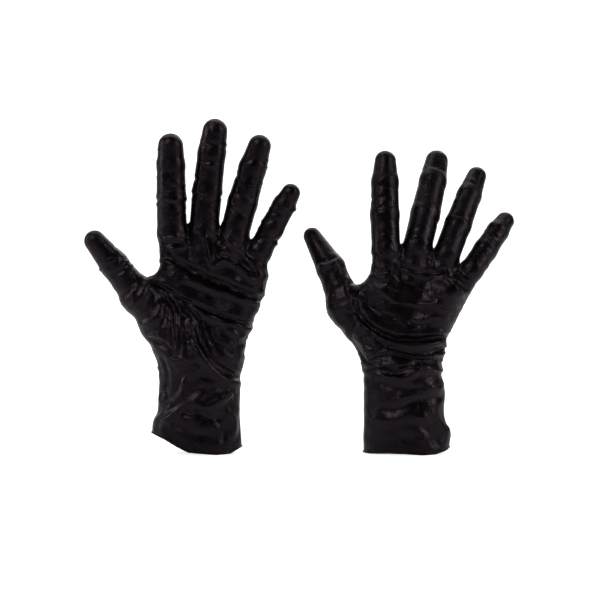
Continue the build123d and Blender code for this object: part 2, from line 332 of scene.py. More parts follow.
# ---- folds, given one by one: each is a line across the glove's front as (across, up), seen from -Y,
# then how far the film stands out (a ridge) or lies in (a valley, below zero), then its width
folds = {
    "left": [
        # upper palm
        ([(-101, 147), (-80, 136), (-58, 126), (-26, 113)], -2.6, 3.4),
        ([(-84, 129.5), (-58, 119), (-24, 108.5)], 1.5, 2.6),
        ([(-107, 127.5), (-89, 116), (-65, 105), (-30, 93.5)], -1.7, 1.5),
        ([(-96, 116), (-66, 101), (-30, 89)], 0.9, 2.2),
        ([(-69, 162), (-67, 147), (-62, 138), (-54, 141), (-46, 138), (-33, 126)], 1.6, 1.6),
        ([(-64, 160), (-60, 146), (-54, 146), (-44, 141), (-30, 131)], -1.5, 1.8),
        ([(-54, 160), (-47, 152), (-38, 143), (-28, 137)], 1.2, 1.7),
        ([(-52, 152), (-44, 146), (-36, 136)], -1.1, 1.5),
        ([(-100, 157), (-89, 159), (-84, 153), (-98, 150)], 1.0, 1.6),
        ([(-97, 153.5), (-88, 155)], -0.8, 1.3),
        ([(-104, 143), (-92, 140), (-80, 131)], 0.9, 1.6),
        # ball of the thumb
        ([(-100, 119), (-91, 107), (-88.5, 88), (-88, 70)], -2.2, 2.2),
        ([(-95, 110), (-92.5, 92), (-93, 76)], 1.2, 2.2),
        ([(-131, 111), (-123, 121), (-119, 128)], -0.9, 1.4),
        ([(-127, 105), (-117, 113), (-111, 126)], 1.0, 1.5),
        ([(-123, 101), (-112, 107), (-107, 119)], -0.9, 1.4),
        ([(-118, 94), (-105, 100), (-99, 113)], 1.1, 1.7),
        ([(-113, 88), (-101, 95), (-95, 106)], -1.3, 1.6),
        ([(-112, 86), (-98, 79), (-89, 70)], -1.7, 2.0),
        ([(-104, 89), (-96, 84)], 0.8, 1.8),
        # middle of the palm down to the wrist
        ([(-88, 113), (-75, 102), (-70, 84), (-60, 67), (-50, 59.5), (-41, 56)], -2.1, 2.4),
        ([(-80, 98), (-76, 82), (-66, 65), (-54, 55), (-41, 51)], 1.3, 2.4),
        ([(-66, 98), (-60, 84), (-48, 74)], -0.9, 2.2),
        ([(-84, 104), (-82, 86), (-80, 72)], -0.8, 1.8),
        ([(-62, 104), (-52, 92), (-40, 84)], 0.8, 2.4),
        # cuff
        ([(-108, 18), (-99, 36), (-89.5, 47), (-85, 58), (-73, 68)], -1.5, 1.6),
        ([(-101, 15), (-91, 28), (-80, 38), (-68, 44)], 1.6, 2.6),
        ([(-97, 40), (-96, 58), (-100, 72)], -1.0, 1.6),
        ([(-104, 36), (-102, 52), (-105, 66)], 1.0, 2.0),
        ([(-86, 31), (-73, 30), (-64, 26), (-55, 28)], -2.0, 1.8),
        ([(-78, 37), (-66, 36), (-57, 40), (-48, 46)], 1.8, 2.6),
        ([(-60, 28), (-54, 18), (-56, 8)], -1.1, 1.8),
        ([(-52, 34), (-47, 22), (-48, 10)], 1.2, 2.0),
        ([(-92, 20), (-76, 14), (-62, 15)], -0.7, 2.2),
        ([(-60, 50), (-50, 47), (-41, 42)], -0.9, 1.8),
    ],
    "right": [
        # back of the hand
        ([(42, 116), (43.5, 104), (51, 94.5), (66, 86.5), (83, 84.5), (109, 86)], -2.6, 2.0),
        ([(47, 108), (53, 99), (67, 91), (84, 88.5), (109, 90)], 1.2, 2.0),
        ([(44, 99), (51, 90), (65, 82.5), (84, 80.5), (108, 82.5)], 1.3, 1.5),
        ([(49, 93), (60, 81.5), (77, 75.5), (94, 74.5), (109, 78)], -2.1, 1.6),
        ([(52, 86), (64, 77), (80, 72), (96, 71.5), (110, 75)], 1.2, 1.4),
        ([(57, 80), (75, 71.5), (90, 69), (110, 70)], -1.8, 1.4),
        ([(58, 121), (72, 113), (90, 110), (104, 112)], 0.6, 3.0),
        ([(48, 112), (58, 104), (72, 100)], -0.6, 2.0),
        ([(74, 143), (81, 136), (97, 132.5), (109, 137)], -0.9, 1.5),
        ([(76, 138), (88, 131), (102, 130), (114, 134)], 0.7, 1.6),
        ([(97.5, 145), (97.5, 134)], 1.1, 1.3),
        ([(106, 136), (116, 128), (126, 120)], -0.9, 1.7),
        ([(104, 131), (113, 124), (121, 115)], 0.8, 1.7),
        ([(55, 137), (60, 133), (66, 136)], -0.6, 1.2),
        ([(54, 133), (60, 129), (67, 132)], 0.6, 1.2),
        ([(55, 129), (61, 125), (67, 128)], -0.5, 1.2),
        ([(80, 98), (88, 95), (96, 97)], -0.7, 1.6),
        # thumb and the film below it
        ([(13, 143), (20, 142), (29, 146)], -1.0, 1.4),
        ([(14, 139), (21, 138), (30, 142)], 0.8, 1.6),
        ([(22, 109), (30, 111), (37, 114)], -0.8, 1.5),
        ([(36, 132), (34, 120), (38, 108)], 0.7, 2.2),
        ([(41, 106), (39, 95), (39, 83), (50, 66)], -1.7, 1.8),
        ([(45, 98), (45, 85), (53, 73)], 1.1, 2.2),
        # wrist
        ([(49, 66), (58, 70.5), (71, 72.5), (84, 70)], -1.7, 1.7),
        ([(50, 63), (62, 66), (74, 66.5), (86, 64.5)], 1.5, 1.8),
        ([(50, 64.5), (71, 59.5), (84, 66.5), (101, 67.5), (110, 66)], -1.8, 1.6),
        ([(60, 57), (76, 56), (90, 62), (110, 61)], 1.3, 2.0),
        # cuff
        ([(52, 55), (75, 49), (98, 47)], -0.8, 2.0),
        ([(68, 31), (84, 39), (109, 43)], -1.0, 1.9),
        ([(66, 37), (82, 44), (108, 51)], 0.9, 2.2),
        ([(52, 27), (66, 24), (80, 28), (98, 26)], 0.9, 4.0),
        ([(52, 38), (62, 34), (74, 36)], -0.6, 2.4),
        ([(96, 34), (104, 22), (112, 12)], 1.3, 2.6),
        ([(88, 24), (98, 14), (102, 5)], -1.0, 2.4),
        ([(54, 14), (70, 10), (84, 13)], -0.5, 3.0),
    ],
}
foldSettings = {
    "turn": (-0.25, 0.4),  # a fold dies out towards the glove's other face
    "endFade": 5.0,
    "shortest": 2.5,  # a short fold fades over its length divided by this
    "lead": 1.0,
}
swells = {  # places where the film stands off all round: across, up, height, radius
    "left": [(-26, 117, 1.6, 5.0), (-28.5, 105, 1.4, 3.5), (-33.5, 92, 1.2, 4.0), (-24, 131, 0.8, 4.0),
             (-130, 112, 0.8, 4.0), (-104, 76, 0.8, 5.0)],
    "right": [(112, 11, 3.0, 7.0), (110, 70, 1.3, 2.6), (110, 79, 1.0, 3.0), (109, 62, 0.8, 2.5),
              (109, 45, 0.8, 6.0), (30, 96, 0.8, 5.0)],
}


def lineDistance(p, line):
    # distance from each point to a line of straight runs, and how far along it is
    best = np.full(len(p), 1e9)
    at = np.zeros(len(p))
    gone = 0.0
    for a, b in zip(line[:-1], line[1:]):
        a, b = np.array(a, float), np.array(b, float)
        run = np.linalg.norm(b - a)
        t = np.clip((p - a) @ (b - a) / run**2, 0, 1)
        d = np.linalg.norm(p - a - t[:, None] * (b - a), axis=1)
        nearer = d < best
        best = np.where(nearer, d, best)
        at = np.where(nearer, gone + t * run, at)
        gone += run
    return best, at, gone


def roundedLine(points):
    # a smooth curve through a fold's points, as short runs
    p = [np.array(q, float) for q in points]
    if len(p) < 3:
        return p
    p = [2 * p[0] - p[1]] + p + [2 * p[-1] - p[-2]]
    out = []
    for a, b, c, d in zip(p, p[1:], p[2:], p[3:]):
        for t in (0, 0.25, 0.5, 0.75):
            cubic = 2 * b + (c - a) * t + (2 * a - 5 * b + 4 * c - d) * t**2
            out.append((cubic + (3 * b - a - 3 * c + d) * t**3) / 2)
    return out + [p[-2]]


creaseForm = {  # small creases across the digits, most of them near the joints
    "seed": 5,
    "many": {"left": 15, "right": 9},  # per digit
    "atJoints": 0.65,  # the share that lies near a joint
    "spread": 6.0,
    "height": {"left": (0.3, 0.75), "right": (0.15, 0.45)},
    "width": (1.1, 1.7),
    "tilt": 0.5,
    "turn": (0.4, 0.85),  # how far a crease runs round its digit, in radians
}


def creaseHeights(side, p):
    form = creaseForm
    random = np.random.default_rng(form["seed"] + (side == "right"))
    nearest, station, digit = onDigit(side, p)
    total = np.zeros(len(p))
    for i, name in enumerate(digitNames):
        line = digitLines[side][name]
        sideways = np.cross(line["along"], line["palmward"])
        across = (p - line["root"]) @ sideways
        angle = np.arctan2((p - line["root"]) @ line["palmward"], across)
        mine = (nearest == i) * digit
        for j in range(form["many"][side]):
            at = random.uniform(4, line["reach"] - line["radii"][3])
            joint = line["stations"][1 + j % 2] + random.normal() * form["spread"]
            at = joint if random.uniform() < form["atJoints"] else at
            limits = (form["width"], form["turn"], form["height"][side])
            width, turn, height = (random.uniform(*pair) for pair in limits)
            lean, centre = random.uniform(-1, 1) * form["tilt"], random.uniform(-math.pi, math.pi)
            turned = (angle - centre + math.pi) % (2 * math.pi) - math.pi
            away = (station - at - lean * across) / width
            sign = 1 if j % 2 else -1
            total += sign * height * np.exp(-(away**2) - (turned / turn) ** 2) * mine
    return total


def foldHeights(side, p, outward):
    form = foldSettings
    facing = smooth(*form["turn"], -outward[:, 1])
    total = np.zeros(len(p))
    for points, height, width in folds[side]:
        d, at, length = lineDistance(p[:, [0, 2]], roundedLine(points))
        fade = min(form["endFade"], length / form["shortest"])
        ends = smooth(0, fade, at + form["lead"]) * smooth(0, fade, length - at + form["lead"])
        total += height * ends * np.exp(-((d / width) ** 2))
    total *= facing
    for across, up, height, radius in swells[side]:
        away = (p[:, 0] - across) ** 2 + (p[:, 2] - up) ** 2
        total += height * np.exp(-away / radius**2)
    return total + creaseHeights(side, p)


# ---- spare film: how much longer the film is than the hand, and how tightly it lies
spareFilm = {
    "seed": 11,
    "waves": 42,
    "ruffle": 0.7,  # height of the first random unevenness
    "digitRuffle": 0.5,  # the share of it that the digits lose
    "ruffleLengths": (6.0, 16.0),
    "wrist": {"left": 0.10, "right": 0.17},  # up and down, where the film bunches at the wrist
    "wristSpread": 17.0,
    "wristMiddle": 4,
    "sleeve": 0.04,
    "sleeveTop": 10,
    "girth": 0.038,
    "palm": 0.13,
    "palmStart": (4, 24),  # above the wrist's hinge
    "palmAcross": {"left": (0.42, 0.0, 0.91), "right": (0.28, 0.0, 0.96)},
    "digit": 0.055,
    "jointSpread": 6.0,
    "atJoints": {"left": 0.12, "right": 0.085},
    "digitGirth": 0.055,
    "digitStart": (-2, 6),  # a digit's own settings fade in along it
    "digitSkin": (2.5, 5),  # and out away from it
    "lowStart": (-20, 12),  # the palm's settings fade in from here, from the wrist's hinge
    "evenRim": (1.0, 8.0),  # heights between which the unevenness sets in
    "rounds": 200,
    "measured": 8,  # rounds between one look at the hand form and the next
    "stretch": 0.45,
    "bend": {"digit": 0.012, "palm": 0.013, "sleeve": 0.030},
    "crease": 0.35,  # a bend sharper than this meets less resistance
    "hold": {"digit": 0.022, "palm": 0.012, "sleeve": 0.005},
    "mostAway": 3.2,
}


def digitPlaces(side, p):
    # for each point: the nearest digit, its distance from it, and its station along it
    distances = np.stack([digitDistance(p, digitLines[side][n]) for n in digitNames], 1)
    nearest = distances.argmin(1)
    stations = np.stack([(p - digitLines[side][n]["root"]) @ digitLines[side][n]["along"]
                         for n in digitNames], 1)
    rows = np.arange(len(p))
    return nearest, distances[rows, nearest], stations[rows, nearest]


def onDigit(side, p):
    nearest, distance, station = digitPlaces(side, p)
    start, skin = spareFilm["digitStart"], spareFilm["digitSkin"]
    return nearest, station, smooth(*start, station) * (1 - smooth(*skin, distance))


def ruffle(p, seed, lengths):
    # even random unevenness: a sum of plane waves in all directions
    random = np.random.default_rng(seed)
    total = np.zeros(len(p))
    for _ in range(spareFilm["waves"]):
        direction = unit(random.normal(size=3))
        length = random.uniform(*lengths)
        total += np.sin(p @ direction * (2 * math.pi / length) + random.uniform(0, 2 * math.pi))
    return total / math.sqrt(spareFilm["waves"])


def spareLength(side, middle, direction):
    # spare length of a short line of film, as a share of its length
    s = spareFilm
    across = unit(np.array(s["palmAcross"][side]))
    nearest, station, digit = onDigit(side, middle)
    z = middle[:, 2] - wrists[side][2]
    upright = direction[:, 2] ** 2
    around = 1 - upright
    palm = smooth(*s["palmStart"], z) * (1 - digit)
    bunch = s["wrist"][side] * np.exp(-(((z - s["wristMiddle"]) / s["wristSpread"]) ** 2))
    spare = (bunch + s["sleeve"] * (z < s["sleeveTop"])) * upright * (1 - digit)
    spare += s["girth"] * around * (1 - digit)
    spare += s["palm"] * palm * (direction @ across) ** 2
    for i, name in enumerate(digitNames):
        line = digitLines[side][name]
        lengthways = (direction @ line["along"]) ** 2
        near = sum(np.exp(-(((station - at) / s["jointSpread"]) ** 2)) for at in line["stations"][1:3])
        amount = s["digit"] + s["atJoints"][side] * near
        amount = amount * lengthways + s["digitGirth"] * (1 - lengthways)
        spare += (nearest == i) * digit * amount
    return spare


class Neighbours:
    # both directions of every link, sorted, so that sums over a point's links are quick
    def __init__(self, links, count):
        both = np.concatenate([links, links[:, ::-1]])
        both = both[np.argsort(both[:, 0], kind="stable")]
        self.here, self.there = both[:, 0], both[:, 1]
        self.first = np.searchsorted(self.here, np.arange(count))
        self.many = np.bincount(self.here, minlength=count).astype(np.float32)[:, None]

    def total(self, values):
        return np.add.reduceat(values, self.first, axis=0)


def layFilm(side, hand, p, quads):
    # lets the spare film buckle and settle on the hand
    s = spareFilm
    p = p.astype(np.float32)
    outward = lookUp(hand, p)[1]
    outward /= np.linalg.norm(outward, axis=1)[:, None] + 1e-6
    nearest, station, digit = onDigit(side, p)
    z = p[:, 2] - wrists[side][2]
    low = smooth(*s["lowStart"], z)
    hold, bend = (
        ((v["sleeve"] * (1 - low) + v["palm"] * low) * (1 - digit)
         + v["digit"] * digit).astype(np.float32)
        for v in (s["hold"], s["bend"])
    )
    laid = foldHeights(side, p, outward).astype(np.float32)
    level = filmForm["gap"] + laid
    uneven = ruffle(p, s["seed"] + (side == "right"), s["ruffleLengths"])
    shape = p + outward * laid[:, None]
    edges = np.unique(np.sort(quadEdges(quads), axis=1), axis=0)
    diagonals = np.concatenate([quads[:, [0, 2]], quads[:, [1, 3]]])
    links = Neighbours(np.concatenate([edges, diagonals]), len(p))
    beside = Neighbours(edges, len(p))
    run = shape[links.there] - shape[links.here]
    length = np.linalg.norm(run, axis=1)
    middle = (p[links.there] + p[links.here]) / 2
    spare = spareLength(side, middle, run / length[:, None])
    rest = (length * (1 + spare)).astype(np.float32)
    near = smooth(*s["evenRim"], p[:, 2])  # the rim stays even
    shape = shape + outward * (s["ruffle"] * uneven * near * (1 - s["digitRuffle"] * digit))[:, None]
    shape = shape.astype(np.float32)
    rim = rimPoints(quads)
    rimPlace = p[rim].copy()
    for turn in range(s["rounds"]):
        if turn % s["measured"] == 0:
            away, slope = lookUp(hand, shape)
            slope /= np.linalg.norm(slope, axis=1)[:, None] + 1e-6
            base = shape.copy()
        run = shape[links.there] - shape[links.here]
        length = np.sqrt((run * run).sum(1)) + 1e-6
        pull = run * ((length - rest) / length)[:, None]
        shape = shape + links.total(pull) / links.many * s["stretch"]
        curve = beside.total(shape[beside.there]) / beside.many - shape
        size = np.sqrt((curve * curve).sum(1))
        ease = 1 / (1 + (size / s["crease"]) ** 2)
        stiff = curve * ease[:, None]
        curve2 = beside.total(stiff[beside.there]) / beside.many - stiff
        shape = shape - curve2 * (bend * 4)[:, None]
        d = away + ((shape - base) * slope).sum(1)
        push = hold * (level - d)
        floor = level - filmForm["gap"]
        push = np.where(d < floor, floor - d, push)
        push = np.where(d > floor + s["mostAway"], floor + s["mostAway"] - d, push)
        shape = shape + slope * push[:, None]
        shape[rim] = rimPlace
    return shape


# ---- the rim: where the edge rises or flares
rimForm = {
    "left": {"across": [-110, -106, -98, -88, -80, -60, -50, -42, -38],
             "lift": [15.5, 14.4, 11.3, 5.8, 2.0, 0.2, 0.7, 5.0, 8.5], "fadeAbove": 42.0},
    "right": {"across": [46, 52, 66, 78, 90, 100, 108, 114],
              "lift": [0.8, 0.6, 1.2, 1.0, 0.0, 0.4, 2.5, 6.0], "fadeAbove": 40.0},
}


def liftRim(side, p):
    form = rimForm[side]
    lift = np.interp(p[:, 0], form["across"], form["lift"])
    return p + np.array([0, 0, 1]) * (lift * (1 - smooth(0, form["fadeAbove"], p[:, 2])))[:, None]


# ---- mesh helpers
def quadMesh(name, points, quads):
    mesh = bpy.data.meshes.new(name)
    mesh.vertices.add(len(points))
    mesh.vertices.foreach_set("co", (points * mm).astype(np.float32).ravel())
    mesh.loops.add(quads.size)
    mesh.loops.foreach_set("vertex_index", quads.astype(np.int32).ravel())
    mesh.polygons.add(len(quads))
    mesh.polygons.foreach_set("loop_start", np.arange(0, quads.size, 4, dtype=np.int32))
    mesh.update(calc_edges=True)
    mesh.shade_smooth()
    return mesh


def newObject(name, mesh):
    thing = bpy.data.objects.new(name, mesh)
    bpy.context.scene.collection.objects.link(thing)
    return thing


def appliedCopy(thing):
    # the evaluated object's mesh, as a mesh of its own
    bpy.context.view_layer.update()
    graph = bpy.context.evaluated_depsgraph_get()
    return bpy.data.meshes.new_from_object(thing.evaluated_get(graph))


def readMesh(mesh):
    points = np.zeros(len(mesh.vertices) * 3, np.float32)
    mesh.vertices.foreach_get("co", points)
    normals = np.zeros(len(mesh.vertices) * 3, np.float32)
    mesh.vertex_normals.foreach_get("vector", normals)
    corners = np.zeros(len(mesh.loops), np.int32)
    mesh.loops.foreach_get("vertex_index", corners)
    return points.reshape(-1, 3) / mm, normals.reshape(-1, 3), corners.reshape(-1, 4)


def finer(points, quads):
    thing = newObject("finer", quadMesh("finer", points, quads))
    subdivide = thing.modifiers.new("finer", "SUBSURF")
    subdivide.levels = subdivide.render_levels = 1
    mesh = appliedCopy(thing)
    bpy.data.objects.remove(thing)
    got = readMesh(mesh)
    bpy.data.meshes.remove(mesh)
    return got


def filmPiece(name, points, normals, quads, material):
    # a closed thin shell cut out of the film, shaded as part of the whole
    used = np.unique(quads)
    number = np.full(len(points), -1)
    number[used] = np.arange(len(used))
    outer = number[quads]
    p, n = points[used], normals[used]
    count = len(used)
    inner = outer[:, ::-1] + count
    edges = quadEdges(outer)
    key = np.sort(edges, axis=1) @ np.array([count, 1])
    unique, first, times = np.unique(key, return_index=True, return_counts=True)
    a, b = edges[first[times == 1]].T
    wall = np.stack([b, a, a + count, b + count], 1)
    allQuads = np.concatenate([outer, inner, wall])
    mesh = quadMesh(name, np.concatenate([p, p - n * filmForm["thickness"]]), allQuads)
    faceNormals = np.zeros(len(mesh.polygons) * 3, np.float32)
    mesh.polygons.foreach_get("normal", faceNormals)
    shading = np.concatenate([n[outer.ravel()], -n[(inner - count).ravel()],
                              np.repeat(faceNormals.reshape(-1, 3)[-len(wall):], 4, axis=0)])
    mesh.normals_split_custom_set(shading)
    mesh.materials.append(material)
    return newObject(name, mesh)


# ---- materials
filmLook = {
    "colour": (0.0005, 0.0003, 0.0004, 1),
    "paleColour": (0.0022, 0.0015, 0.0020, 1),
    "roughness": (0.27, 0.43),
    "specular": 0.21,
    "ior": 1.5,
    "sheenTint": (1.0, 0.74, 0.93, 1),  # reflections lean to plum
    "grain": 1900.0,  # fine unevenness of the dipped surface, per metre
    "grainHeight": 0.00002,
    "pull": 210.0,  # faint stretch lines
    "pullHeight": 0.00012,
    "wrinkleScale": (105.0, 105.0, 250.0),  # fine wrinkles that run across the glove
    "wrinkleTurn": 0.3,
    "wrinkleHeight": 0.0009,
    "clouds": 38.0,
    "patches": 95.0,
    "wander": 60.0,
    "wanderShare": 0.06,
}


def addNode(tree, kind, inputs=None, **settings):
    made = tree.nodes.new(kind)
    for key, value in settings.items():
        setattr(made, key, value)
    for key, value in (inputs or {}).items():
        made.inputs[key].default_value = value
    return made


def nitrile(name, look, coarse):
    material = bpy.data.materials.new(name)
    material.use_nodes = True
    tree = material.node_tree
    link = tree.links.new
    shader = tree.nodes["Principled BSDF"]
    shader.inputs["Specular IOR Level"].default_value = look["specular"]
    shader.inputs["Specular Tint"].default_value = look["sheenTint"]
    shader.inputs["IOR"].default_value = look["ior"]
    place3d = addNode(tree, "ShaderNodeTexCoord")
    spot = place3d.outputs["Object"]
    # colour: slightly greyer where the film is thin or dusted
    clouds = addNode(tree, "ShaderNodeTexNoise", {"Scale": look["clouds"], "Detail": 5.0,
                     "Roughness": 0.6})
    link(spot, clouds.inputs["Vector"])
    tone = addNode(tree, "ShaderNodeValToRGB")
    dark, pale = tone.color_ramp.elements
    dark.position, dark.color = 0.38, look["colour"]
    pale.position, pale.color = 0.72, look["paleColour"]
    link(clouds.outputs["Fac"], tone.inputs["Fac"])
    link(tone.outputs["Color"], shader.inputs["Base Color"])
    # gloss: patches of more and less shine
    patches = addNode(tree, "ShaderNodeTexNoise", {"Scale": look["patches"], "Detail": 4.0,
                      "Roughness": 0.55})
    link(spot, patches.inputs["Vector"])
    gloss = addNode(tree, "ShaderNodeMapRange", {"From Min": 0.35, "From Max": 0.68,
                    "To Min": look["roughness"][0], "To Max": look["roughness"][1]})
    link(patches.outputs["Fac"], gloss.inputs["Value"])
    link(gloss.outputs["Result"], shader.inputs["Roughness"])
    # relief: stretch lines under a fine grain
    wander = addNode(tree, "ShaderNodeTexNoise", {"Scale": look["wander"], "Detail": 2.0})
    link(spot, wander.inputs["Vector"])
    shifted = addNode(tree, "ShaderNodeMix", data_type="VECTOR")
    shifted.inputs["Factor"].default_value = look["wanderShare"]
    link(spot, shifted.inputs[4])
    link(wander.outputs["Color"], shifted.inputs[5])
    lines = addNode(tree, "ShaderNodeTexVoronoi", {"Scale": look["pull"] * coarse},
                    feature="DISTANCE_TO_EDGE")
    link(shifted.outputs[1], lines.inputs["Vector"])
    creased = addNode(tree, "ShaderNodeMapRange", {"From Min": 0.0, "From Max": 0.22,
                      "To Min": 0.0, "To Max": 1.0}, interpolation_type="SMOOTHSTEP")
    link(lines.outputs["Distance"], creased.inputs["Value"])
    across = addNode(tree, "ShaderNodeMapping", {"Scale": look["wrinkleScale"],
                     "Rotation": (0.0, look["wrinkleTurn"], 0.0)})
    link(shifted.outputs[1], across.inputs["Vector"])
    wrinkles = addNode(tree, "ShaderNodeTexNoise", {"Scale": 1.0, "Detail": 3.0, "Roughness": 0.45},
                       noise_type="RIDGED_MULTIFRACTAL")
    link(across.outputs["Vector"], wrinkles.inputs["Vector"])
    deep = addNode(tree, "ShaderNodeBump", {"Strength": 0.35, "Distance": look["wrinkleHeight"]})
    link(wrinkles.outputs["Fac"], deep.inputs["Height"])
    low = addNode(tree, "ShaderNodeBump", {"Strength": 0.4, "Distance": look["pullHeight"]})
    link(creased.outputs["Result"], low.inputs["Height"])
    link(deep.outputs["Normal"], low.inputs["Normal"])
    grain = addNode(tree, "ShaderNodeTexNoise", {"Scale": look["grain"], "Detail": 3.0,
                    "Roughness": 0.6})
    link(spot, grain.inputs["Vector"])
    fine = addNode(tree, "ShaderNodeBump", {"Strength": 0.35, "Distance": look["grainHeight"]})
    link(grain.outputs["Fac"], fine.inputs["Height"])
    link(low.outputs["Normal"], fine.inputs["Normal"])
    link(fine.outputs["Normal"], shader.inputs["Normal"])
    return material


filmMaterial = nitrile("satin black nitrile", filmLook, 1.0)
beadLook = dict(filmLook, colour=(0.0016, 0.0012, 0.0015, 1), roughness=(0.26, 0.38),
                pullHeight=0.00006)
beadMaterial = nitrile("rolled black nitrile", beadLook, 2.4)


# ---- cutting the film where the frame's bodies meet
seamForm = {
    "wrist": 16.0,  # the wrist bends within this much of its hinge
    "fingerStart": 3.0,
    "fingerEnd": {"index": 15.0, "middle": 16.0, "ring": 15.0, "little": 12.0},
    "thumbStart": 5.0,
    "thumbEnd": 19.0,
    "jointHalf": {"index": 7.0, "middle": 8.0, "ring": 7.5, "little": 5.5, "thumb": 8.0},
    "endShare": 0.85,  # a last joint's bend is this much shorter
    "sleeveDown": 1,  # the sleeve's film ends this far below the bend
    "clear": 4.2,  # film further than this from a digit belongs to the palm
}


def cutUp(side, points, quads):
    middle = points[quads].mean(1)
    nearest, distance, station = digitPlaces(side, middle)
    names = np.full(len(quads), "hand_film", dtype=object)
    names[middle[:, 2] < wrists[side][2] - seamForm["wrist"] - seamForm["sleeveDown"]] = "sleeve_film"
    for i, name in enumerate(digitNames):
        start = seamForm["thumbStart"] if name == "thumb" else seamForm["fingerStart"]
        mine = (nearest == i) & (station > start) & (distance < seamForm["clear"])
        _, first, last, _ = digitLines[side][name]["stations"]
        half = seamForm["jointHalf"][name]
        names[mine] = f"{name}_root_film"
        if name != "thumb":
            seam = (seamForm["fingerEnd"][name] + first - half) / 2
            names[mine & (station > seam)] = f"{name}_middle_film"
            names[mine & (station > (first + last) / 2)] = f"{name}_end_film"
        else:
            names[mine & (station > (seamForm["thumbEnd"] + last - half) / 2)] = "thumb_end_film"
    return names


def onAxis(side, name, station):
    line = digitLines[side][name]
    return Vector((line["root"] + line["along"] * station) * mm)


def bendPiece(side, label, piece):
    if label == "sleeve_film":
        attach(piece, f"{side}_cuff")
        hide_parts(f"{side}_cuff")
        return
    if label == "hand_film":
        wrist, reach = Vector(wrists[side] * mm), Vector((0, 0, seamForm["wrist"] * mm))
        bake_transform(piece)
        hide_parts(f"{side}_wrist_fold", f"{side}_palm", f"{side}_knuckle_folds")
        return
    name, part, _ = label.split("_")
    _, first, last, _ = digitLines[side][name]["stations"]
    half = seamForm["jointHalf"][name]
    if part == "root":
        start = seamForm["thumbStart"] if name == "thumb" else seamForm["fingerStart"]
        end = seamForm["thumbEnd"] if name == "thumb" else seamForm["fingerEnd"][name]
        centre, reach = (start + end) / 2, (end - start) / 2
        nodes = [f"{side}_{name}_base"] + ([f"{side}_thumb_base_fold"] if name == "thumb" else [])
    elif part == "middle":
        centre, reach = first, half
        nodes = [f"{side}_{name}_middle_fold", f"{side}_{name}_middle"]
    else:
        centre, reach = last, half * seamForm["endShare"]
        nodes = [f"{side}_{name}_tip_fold", f"{side}_{name}_tip"]
    start, end = (onAxis(side, name, station) for station in (centre - reach, centre + reach))
    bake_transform(piece)
    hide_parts(*nodes)


# ---- the rolled bead, laid along the rim by Geometry Nodes
beadForm = {"radius": 0.0007, "uneven": 0.00013, "grain": 420.0, "runs": 420, "sides": 12, "seed": 4}


def rimLoop(points, quads):
    # the open edge's points in order
    edges = np.sort(quadEdges(quads), axis=1)
    unique, counts = np.unique(edges, axis=0, return_counts=True)
    following = {}
    for a, b in unique[counts == 1]:
        following.setdefault(a, []).append(b)
        following.setdefault(b, []).append(a)
    start = min(following)
    loop, last, here = [start], None, start
    while True:
        options = [n for n in following[here] if n != last]
        last, here = here, options[0]
        if here == start:
            return points[loop]
        loop.append(here)


